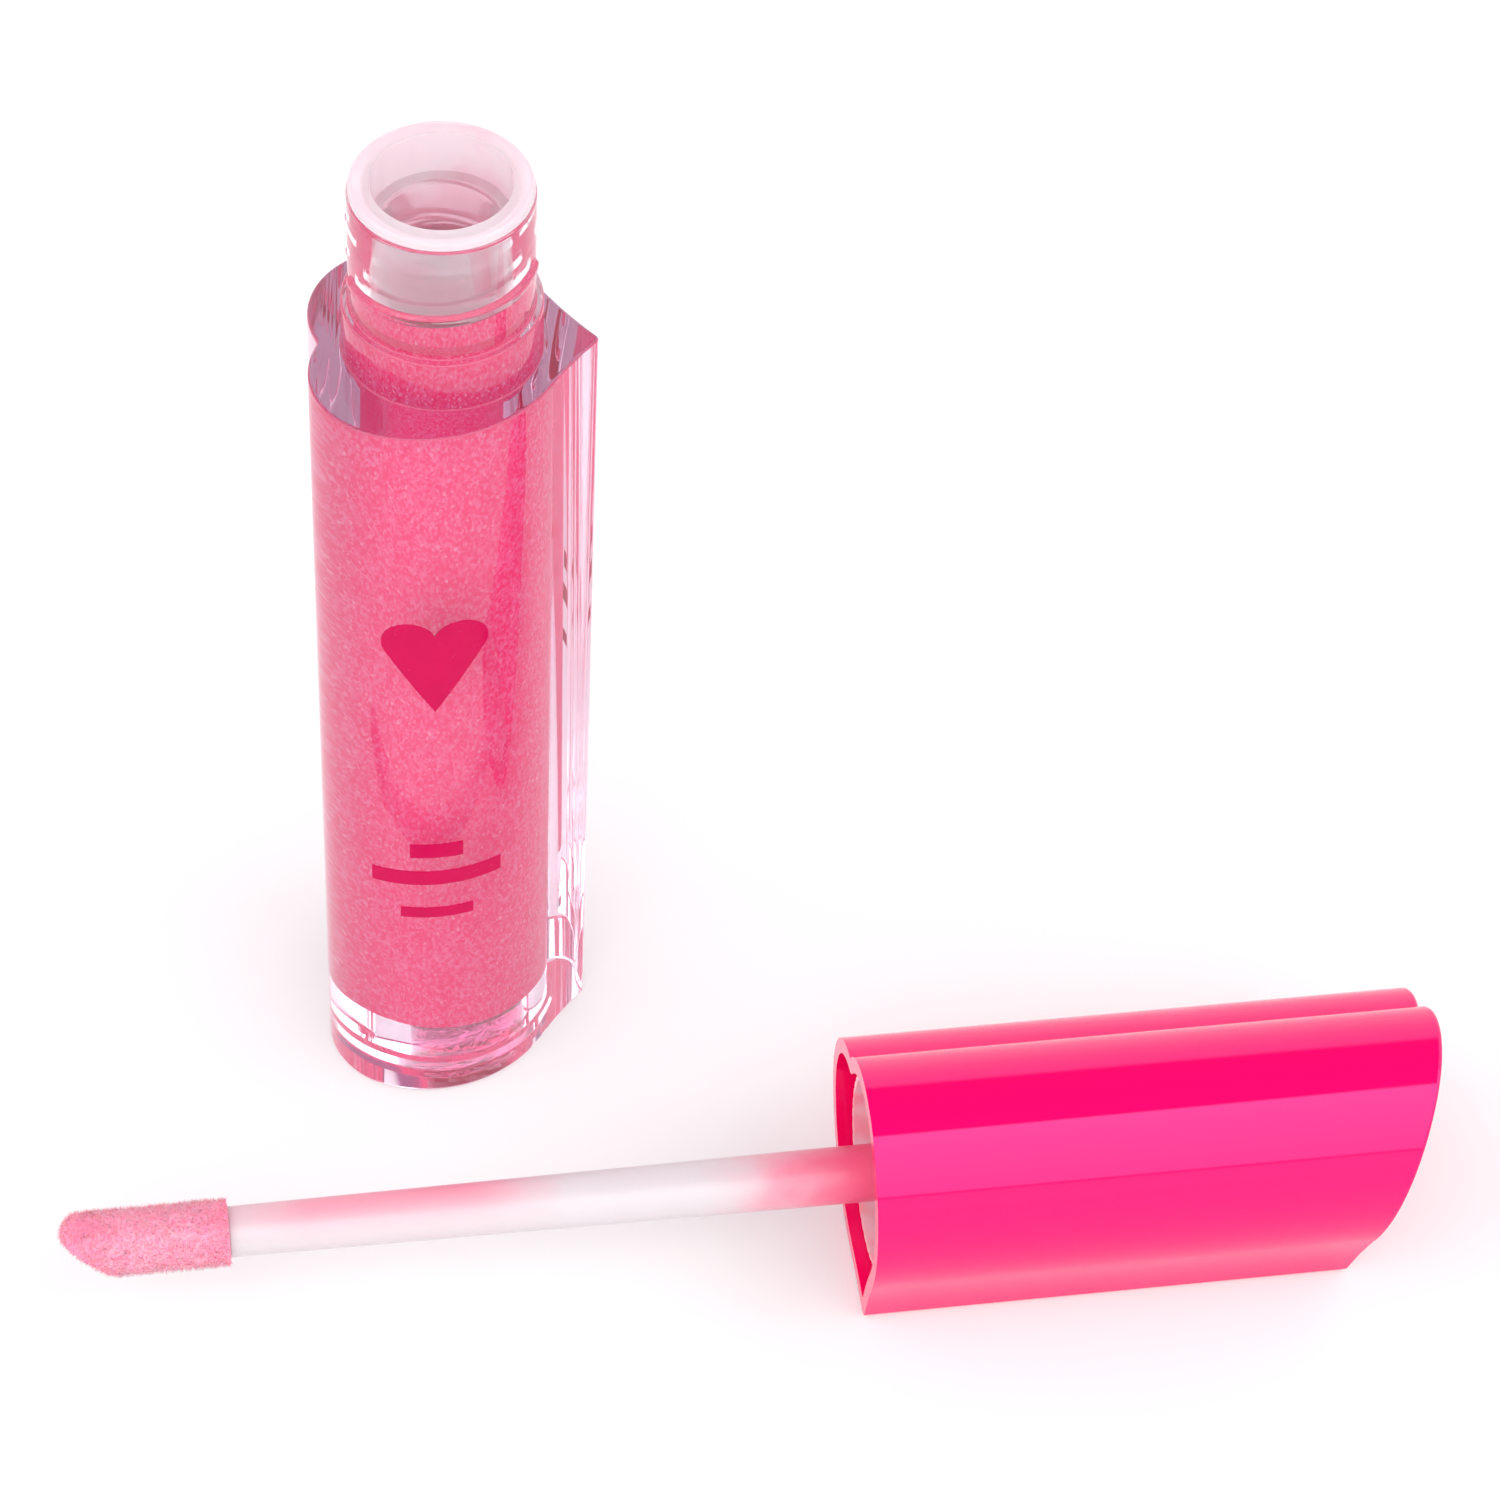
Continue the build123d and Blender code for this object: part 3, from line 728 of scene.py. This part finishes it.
class GLOSS_OT_tube(bpy.types.Operator):
    """Builds the thick clear tube: heart-shaped body, collar, ridged neck and through bore"""
    bl_idname = "gloss.tube"
    bl_label = "Clear tube"

    def execute(self, context):
        tube, heart = context.scene.gloss_tube, context.scene.gloss_heart
        top = tube.body_height
        collar_top = top + tube.collar_height
        rim = collar_top + tube.neck_height
        foot, edge = tube.foot_edge, tube.shoulder_edge
        hair = 0.03 * MM
        outer = rounded(
            [(-foot - 4 * hair, 0), (0, 0), (0, top), (-edge - 4 * hair, top)], [foot, edge], 7)
        beside = [2 * hair, 0]
        outer = np.vstack([outer[:1], outer[:1] + beside, outer[1:-1], outer[-1:] + beside, outer[-1:]])
        hearts = np.stack([heart_outline(heart, grow) for grow in outer[:, 0]])
        base = heart_outline(heart, 0.0)
        unit = base / np.linalg.norm(base, axis=1)[:, None]
        lip = 0.15 * MM
        neck = rounded([
            (tube.collar_radius + 3 * lip, top), (tube.collar_radius, top),
            (tube.collar_radius, collar_top), (tube.neck_radius, collar_top), (tube.neck_radius, rim),
            (tube.neck_bore, rim), (tube.neck_bore, collar_top + tube.flare / 2),
            (tube.bore, collar_top - tube.flare / 2), (tube.bore, tube.seat_depth),
            (tube.seat_radius, tube.seat_depth), (tube.seat_radius, 0), (tube.seat_radius + 3 * lip, 0)],
            [lip, 1.4 * lip, lip, 2 * lip, lip, 2 * lip, 2 * lip, hair, hair, hair], 5)
        ridged = (neck[:-1, 0] > tube.neck_radius - hair / 10) & (neck[1:, 0] > tube.neck_radius - hair / 10)
        ridged &= (neck[:-1, 1] > collar_top) & (neck[1:, 1] > neck[:-1, 1] + 2 * MM)
        at = int(np.argmax(ridged))
        wall = spread(neck[at:at + 2], 0.11 * MM)
        neck = np.vstack([neck[:at], wall, neck[at + 2:]])
        rounds = neck[:, 0, None, None] * unit[None]
        height = np.broadcast_to(neck[:, 1, None], rounds.shape[:2])
        rise = ridge_rise(tube, rounds[..., 0], rounds[..., 1], height)
        inside = (neck[:, 1] > collar_top + 2 * lip) & (neck[:, 0] > tube.neck_radius - hair / 10)
        rounds = rounds + (rise * inside[:, None])[..., None] * unit[None]
        sections = np.concatenate([hearts, rounds])
        levels = np.concatenate([np.broadcast_to(outer[:, 1, None], hearts.shape[:2]), height])
        points = np.concatenate([sections, levels[..., None]], -1)
        rings, around = points.shape[:2]
        piece = closed_mesh("clear_tube", points.reshape(-1, 3), ring_quads(rings, around, True))
        dress(piece, wall_material(context.scene.gloss_plastic, top, collar_top))
        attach(piece, TUBE)
        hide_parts("tube_body")
        return {"FINISHED"}


class GLOSS_OT_gloss(bpy.types.Operator):
    """Fills the well with gloss, wetted to its wall"""
    bl_idname = "gloss.gloss"
    bl_label = "Gloss"

    def execute(self, context):
        tube, looks = context.scene.gloss_tube, context.scene.gloss_gloss
        low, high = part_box("gloss_fill")
        radius = tube.bore + looks.overlap
        bottom, level = low.z - 2 * looks.overlap, high.z
        neck_foot = tube.body_height + tube.collar_height
        film = tube.neck_bore + looks.overlap
        # Up the well, out with the flare, up the neck as a film, and back down it to a shallow dimple.
        profile = rounded([
            (0, bottom), (radius, bottom), (radius, neck_foot - tube.flare / 2),
            (film, neck_foot + tube.flare / 2), (film, neck_foot + looks.film_height),
            (film - 0.8 * MM, neck_foot + looks.film_height - 0.55 * MM),
            (film - 2.3 * MM, neck_foot + 0.6 * MM), (film - 2.5 * MM, level + 0.2 * MM), (0, level)],
            [0.05 * MM, 0.2 * MM, 0.2 * MM, 0.05 * MM, 0.1 * MM, 0.3 * MM, 0.3 * MM], 6)
        piece = turned_piece("gloss", spread(profile, 2 * MM), 180)
        dress(piece, gloss_material(looks))
        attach(piece, TUBE)
        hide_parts("gloss_fill")
        return {"FINISHED"}


class GLOSS_OT_insert(bpy.types.Operator):
    """Finishes the wiper in the neck and the plug in the base"""
    bl_idname = "gloss.insert"
    bl_label = "Wiper and plug"

    def execute(self, context):
        looks = context.scene.gloss_plastic
        dress(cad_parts["wiper"], wiper_material(looks))
        dress(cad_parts["base_plug"], plug_material(looks))
        return {"FINISHED"}


class GLOSS_OT_print(bpy.types.Operator):
    """Inks the printed heart and the bars"""
    bl_idname = "gloss.print"
    bl_label = "Print"

    def execute(self, context):
        ink = ink_material(context.scene.gloss_plastic)
        for node in ("heart_print", "label_bars"):
            dress(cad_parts[node], ink)
        return {"FINISHED"}


class GLOSS_OT_cap(bpy.types.Operator):
    """Finishes the cap's shell and its liner"""
    bl_idname = "gloss.cap"
    bl_label = "Cap"

    def execute(self, context):
        looks = context.scene.gloss_plastic
        dress(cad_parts["cap_shell"], cap_material(looks))
        dress(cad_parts["cap_liner"], liner_material(looks))
        return {"FINISHED"}


class GLOSS_OT_wand(bpy.types.Operator):
    """Finishes the wand and the applicator, and sets the fibres of its flock"""
    bl_idname = "gloss.wand"
    bl_label = "Wand"

    def execute(self, context):
        looks = context.scene.gloss_plastic
        dress(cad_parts["wand_stem"], wand_material(looks))
        flock = flock_material(looks)
        for node in ("applicator_core", "applicator_flock"):
            dress(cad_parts[node], flock)
        fibres = flock_fibres(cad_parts["applicator_flock"], FIBRES)
        dress(fibres, flock)
        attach(fibres, CAP)
        return {"FINISHED"}


def flock_fibres(node, count):
    """Short tapered fibres on the outside of the flock: roots spread evenly by area over the faces that point
    away from the wand's axis, each fibre a three-sided spike 0.18 to 0.42 mm tall and leaning a little."""
    mesh = node.data
    mesh.calc_loop_triangles()
    co = np.zeros(len(mesh.vertices) * 3)
    mesh.vertices.foreach_get("co", co)
    co = co.reshape(-1, 3)
    corners = np.zeros(len(mesh.loop_triangles) * 3, np.int32)
    mesh.loop_triangles.foreach_get("vertices", corners)
    corners = corners.reshape(-1, 3)
    a, b, c = co[corners[:, 0]], co[corners[:, 1]], co[corners[:, 2]]
    cross = np.cross(b - a, c - a)
    area = np.linalg.norm(cross, axis=1) / 2
    normal = cross / np.maximum(2 * area[:, None], 1e-20)
    mouth, way = wand_line()
    way = np.array(way)
    middle = (a + b + c) / 3 - np.array(mouth)
    off = middle - (middle @ way)[:, None] * way
    reach = np.linalg.norm(off, axis=1)
    outward = np.einsum("ij,ij->i", off / np.maximum(reach[:, None], 1e-9), normal) > 0.3
    outward |= normal @ -way > 0.3
    weight = area * outward
    rng = np.random.default_rng(7)
    pick = rng.choice(len(area), count, p=weight / weight.sum())
    u, v = rng.random((2, count, 1))
    fold = u + v > 1
    u, v = np.where(fold, 1 - u, u), np.where(fold, 1 - v, v)
    root = a[pick] + u * (b - a)[pick] + v * (c - a)[pick]
    lean = normal[pick] + 0.45 * rng.normal(size=(count, 3))
    lean /= np.linalg.norm(lean, axis=1)[:, None]
    side = np.cross(lean, rng.normal(size=(count, 3)))
    side /= np.linalg.norm(side, axis=1)[:, None]
    other = np.cross(lean, side)
    tall = (0.18 + 0.24 * rng.random((count, 1))) * MM
    wide = (0.025 + 0.03 * rng.random((count, 1))) * MM
    turn = np.arange(3) * math.tau / 3
    foot = root[:, None] + wide[:, None] * (np.cos(turn)[None, :, None] * side[:, None]
                                            + np.sin(turn)[None, :, None] * other[:, None])
    foot = foot - 0.05 * MM * lean[:, None]
    tip = (root + tall * lean)[:, None]
    points = np.concatenate([foot, tip], 1).reshape(-1, 3)
    first = 4 * np.arange(count)[:, None]
    triangles = np.concatenate([first + [0, 1, 3], first + [1, 2, 3], first + [2, 0, 3], first + [2, 1, 0]])
    return closed_mesh("flock_fibres", points, np.zeros((0, 4)), triangles)


class GLOSS_PT_panel(bpy.types.Panel):
    """Sidebar panel with every piece's operator"""
    bl_idname = "GLOSS_PT_panel"
    bl_label = "Gloss Tube"
    bl_space_type = "VIEW_3D"
    bl_region_type = "UI"
    bl_category = "Gloss Tube"

    def draw(self, context):
        for operator in OPERATORS:
            self.layout.operator(operator.bl_idname)
        for name in GROUPS:
            group = getattr(context.scene, name)
            for label in group.bl_rna.properties.keys():
                if label not in ("name", "rna_type"):
                    self.layout.prop(group, label)


OPERATORS = (GLOSS_OT_stage, GLOSS_OT_tube, GLOSS_OT_gloss, GLOSS_OT_insert, GLOSS_OT_print,
             GLOSS_OT_cap, GLOSS_OT_wand)
GROUPS = {
    "gloss_tube": TubeSizes,
    "gloss_heart": HeartSizes,
    "gloss_gloss": GlossLooks,
    "gloss_plastic": PlasticLooks,
    "gloss_stage": StageLooks,
}


def register():
    """Registers the size groups, the operators and the panel."""
    for group in GROUPS.values():
        bpy.utils.register_class(group)
    for cls in (*OPERATORS, GLOSS_PT_panel):
        bpy.utils.register_class(cls)
    for name, group in GROUPS.items():
        setattr(bpy.types.Scene, name, bpy.props.PointerProperty(type=group))


def unregister():
    """Takes away what register added."""
    for name in GROUPS:
        delattr(bpy.types.Scene, name)
    for cls in (*OPERATORS, GLOSS_PT_panel, *GROUPS.values()):
        bpy.utils.unregister_class(cls)


def main():
    """Builds the stage and every piece in order."""
    register()
    bpy.ops.gloss.stage()
    bpy.ops.gloss.tube()
    bpy.ops.gloss.gloss()
    bpy.ops.gloss.insert()
    bpy.ops.gloss.print()
    bpy.ops.gloss.cap()
    bpy.ops.gloss.wand()


if __name__ == "__main__":
    main()
